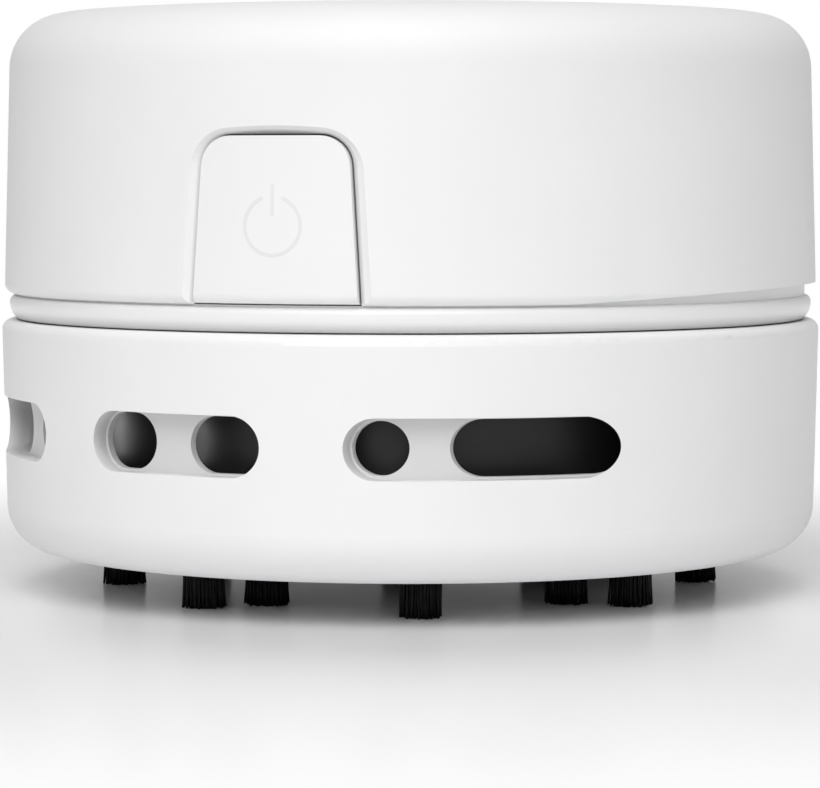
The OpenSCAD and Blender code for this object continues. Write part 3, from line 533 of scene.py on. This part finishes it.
def bristle_tree():
    """Strands on a spiral, bent outwards towards their tips."""
    make = Steps("bristle_tuft")
    count, seed = make.ask("Strands", "Int"), make.ask("Seed", "Int")
    tuft_r, strand_r = make.ask("Tuft radius", "Float"), make.ask("Strand radius", "Float")
    root, spread = make.ask("Root height", "Float"), make.ask("Spread", "Float")
    place, finish = make.ask("Place", "Vector"), make.ask("Finish", "Material")

    index = make.put("GeometryNodeInputIndex").outputs[0]
    share = make.sum("DIVIDE", make.sum("ADD", index, 0.5), count)
    out = make.sum("MULTIPLY", make.sum("SUBTRACT", tuft_r, strand_r), make.sum("SQRT", share))
    turn = make.sum("MULTIPLY", index, GOLDEN_TURN)
    at = make.put("ShaderNodeCombineXYZ", X=make.sum("MULTIPLY", out, make.sum("COSINE", turn)),
                  Y=make.sum("MULTIPLY", out, make.sum("SINE", turn)), Z=root).outputs[0]
    points = make.put("GeometryNodePoints", Count=count, Position=at).outputs[0]

    stray = make.put("FunctionNodeRandomValue", {"data_type": "FLOAT_VECTOR"},
                     i0=(-1.0, -1.0, 0.0), i1=(1.0, 1.0, 0.0), Seed=seed).outputs[0]
    small = make.put("ShaderNodeVectorMath", {"operation": "SCALE"}, i0=stray, Scale=STRAY).outputs[0]
    here = make.put("GeometryNodeInputPosition").outputs[0]
    level = make.put("ShaderNodeVectorMath", {"operation": "MULTIPLY"}, i0=here, i1=(1, 1, 0)).outputs[0]
    wide = make.put("ShaderNodeVectorMath", {"operation": "SCALE"}, i0=level, Scale=spread).outputs[0]
    lean = make.put("ShaderNodeVectorMath", {"operation": "ADD"}, i0=wide, i1=small).outputs[0]
    kept = make.put("GeometryNodeStoreNamedAttribute", {"data_type": "FLOAT_VECTOR"},
                    Geometry=points, Name="lean", Value=lean).outputs[0]

    straight = make.put("GeometryNodeMeshCylinder", {"fill_type": "NGON"}, Vertices=5, Side_Segments=4,
                        Radius=strand_r, Depth=root)
    hung = make.put("GeometryNodeTransform", Geometry=straight.outputs["Mesh"], Translation=make.put(
        "ShaderNodeCombineXYZ", Z=make.sum("MULTIPLY", root, -0.5)).outputs[0]).outputs[0]
    length = make.put("FunctionNodeRandomValue", {"data_type": "FLOAT"}, i2=SHORTEST, i3=LONGEST,
                      Seed=seed).outputs[1]
    size = make.put("ShaderNodeCombineXYZ", X=1.0, Y=1.0, Z=make.sum("MINIMUM", length, 1.0)).outputs[0]
    spin = make.put("ShaderNodeCombineXYZ", Z=turn).outputs[0]
    strands = make.put("GeometryNodeInstanceOnPoints", Points=kept, Instance=hung, Scale=size,
                       Rotation=spin).outputs[0]
    real = make.put("GeometryNodeRealizeInstances", Geometry=strands).outputs[0]

    height = make.put("ShaderNodeSeparateXYZ", i0=here).outputs["Z"]
    down = make.sum("SUBTRACT", 1.0, make.sum("DIVIDE", height, root))
    bend = make.put("GeometryNodeInputNamedAttribute", {"data_type": "FLOAT_VECTOR"}, Name="lean").outputs[0]
    shift = make.put("ShaderNodeVectorMath", {"operation": "SCALE"}, i0=bend,
                     Scale=make.sum("MULTIPLY", down, down)).outputs[0]
    bent = make.put("GeometryNodeSetPosition", Geometry=real, Offset=shift).outputs[0]
    clean = make.put("GeometryNodeRemoveAttribute", Geometry=bent, Name="lean").outputs[0]
    set_down = make.put("GeometryNodeTransform", Geometry=clean, Translation=place).outputs[0]
    smooth = make.put("GeometryNodeSetShadeSmooth", Geometry=set_down).outputs[0]
    whole = make.put("GeometryNodeRealizeInstances", Geometry=smooth).outputs[0]
    done = make.put("GeometryNodeSetMaterial", Geometry=whole, Material=finish).outputs[0]
    make.tree.links.new(done, make.group_out.inputs[0])
    return make.tree


strand_tree = bristle_tree()
print("bristle tree:", len(strand_tree.nodes), "nodes")

# %% [markdown]
# A modifier's inputs are set by each socket's identifier before the object is first looked at.
# The result is then copied into a plain mesh, and the modifier goes with the object it was on.

# %% From tree to plain mesh


def grown(tree, name, values):
    """Runs a geometry tree with its named inputs, and returns the result as a plain object."""
    host = bpy.data.objects.new(name + "_host", bpy.data.meshes.new(name + "_host"))
    bpy.context.scene.collection.objects.link(host)
    run = host.modifiers.new("grow", "NODES")
    run.node_group = tree
    for item in tree.interface.items_tree:
        if item.in_out == "INPUT" and item.name in values:
            run[item.identifier] = values[item.name]
    graph = bpy.context.evaluated_depsgraph_get()
    mesh = bpy.data.meshes.new_from_object(host.evaluated_get(graph))
    bpy.data.objects.remove(host)
    mesh.name = name
    piece = bpy.data.objects.new(name, mesh)
    bpy.context.scene.collection.objects.link(piece)
    return piece


# %% Twelve tufts
STRANDS, STRAND_R, TUFT_R, SPREAD = 170, 0.00012, 0.0021, 0.05
# the strands' tops stay this far below the top of the solid tuft, in m
SINK = 0.0001

for number, node in enumerate(sorted(n for n in NODES if "_tuft_" in n)):
    low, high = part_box(node)
    middle = (low + high) / 2
    bristles = grown(strand_tree, node.replace("tuft", "bristles"), {
        "Strands": STRANDS, "Seed": number + 1, "Tuft radius": TUFT_R, "Strand radius": STRAND_R,
        "Root height": high.z - SINK, "Spread": SPREAD, "Place": (middle.x, middle.y, 0.0),
        "Finish": nylon})
    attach(bristles, "base")
    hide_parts(node)
print("last tuft:", bristles.name, len(bristles.data.polygons), "faces")

# %% [markdown]
# ## The power symbol
# The symbol is a thin pale print on the button: a ring that is open at the top, with a stroke
# in the gap. The button's face is part of a cone, so a flat symbol would sink in or stand off.
# Each point is set out flat first and then laid on the face, a hair's breadth proud of it.

# %% Symbol outline
SYMBOL_Z, SYMBOL_R, STROKE = 38.07, 2.77, 0.34
GAP_DEG, STEM_FROM, STEM_TO = 20, 39.02, 41.97


def open_ring(steps=72):
    """Pairs of points, inner and outer, along the ring from one side of the gap to the other."""
    rows = []
    for k in range(steps + 1):
        a = math.radians(90 + GAP_DEG + (360 - 2 * GAP_DEG) * k / steps)
        rows.append([(r * math.cos(a), SYMBOL_Z + r * math.sin(a))
                     for r in (SYMBOL_R - STROKE / 2, SYMBOL_R + STROKE / 2)])
    return rows


def stem(steps=8):
    """The same for the upright stroke in the gap."""
    return [[(x, STEM_FROM + (STEM_TO - STEM_FROM) * k / steps) for x in (STROKE / 2, -STROKE / 2)]
            for k in range(steps + 1)]


print("ring points:", len(open_ring()), "stem points:", len(stem()))

# %% Symbol laid on the button
PROUD, SUNK = 0.012, 0.03


def on_face(x, z, off):
    """The point of the button's front face at x and z, moved out by off, all in mm."""
    r = CAP_R - CAP_LEAN * (z - CAP_FOOT) + off
    return Vector((x, -math.sqrt(r * r - x * x), z)) * MM


def printed(name, strips, finish):
    """Thin closed strips that follow the button's face."""
    shape = bmesh.new()
    for rows in strips:
        rings = [[shape.verts.new(on_face(x, z, off)) for (x, z), off in (
            (inner, -SUNK), (outer, -SUNK), (outer, PROUD), (inner, PROUD))] for inner, outer in rows]
        for a, b in zip(rings, rings[1:]):
            for k in range(4):
                shape.faces.new((a[k], a[(k + 1) % 4], b[(k + 1) % 4], b[k]))
        shape.faces.new(rings[0][::-1])
        shape.faces.new(rings[-1])
    bmesh.ops.recalc_face_normals(shape, faces=shape.faces)
    mesh = bpy.data.meshes.new(name)
    shape.to_mesh(mesh)
    shape.free()
    piece = bpy.data.objects.new(name, mesh)
    piece.data.materials.append(finish)
    bpy.context.scene.collection.objects.link(piece)
    return piece


symbol_ink = moulded("pale_print", (0.8, 0.8, 0.8), (0.78, 0.78, 0.785), 0.6, 0.5, 0.1, 0.002)
power_symbol = printed("power_symbol", [open_ring(), stem()], symbol_ink)
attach(power_symbol, "button")
print("symbol width in mm:", round(power_symbol.dimensions.x / MM, 2))

# %% [markdown]
# ## Dressing the solids
# Every solid keeps its shape and gets its finish. Outside, only the two shells, the ring, the
# button, the cup and the nozzle show. The inside shows when the drum is opened, so it is
# dressed as carefully.

# %% Finish of each solid
DRESS = {
    white_shell: ("lower_housing", "top_housing", "power_button"),
    smooth_white: ("chassis", "switch_plunger"),
    cup_black: ("dust_cup",),
    frame_black: ("inlet_nozzle", "filter_basket", "fan_impeller", "motor_end_cap", "switch_body"),
    frame_grey: ("fan_lid", "battery_tray"),
    felt: ("filter_pad",),
    rubber: ("cup_seal",),
    steel: ("motor_shaft", "motor_can", "motor_screws", "tray_screws"),
    brass: ("motor_bush", "motor_terminals", "switch_terminals"),
    nickel: ("contact_bridge", "contact_plus", "contact_minus", "contact_spring_1", "contact_spring_2"),
    cell_film: ("battery_cell_1", "battery_cell_2"),
    red_jacket: ("lead_battery", "lead_switch"),
    black_jacket: ("lead_motor",),
    nylon: tuple(n for n in NODES if "_tuft_" in n),
}

for finish, names in DRESS.items():
    for name in names:
        for slot in NODES[name].material_slots:
            slot.material = finish
left_bare = sorted(set(NODES) - {n for names in DRESS.values() for n in names})
print("solids with no finish:", left_bare)

# %% Size and finish
low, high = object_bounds()
print("visual size in mm:", [round(v / MM, 2) for v in high - low])
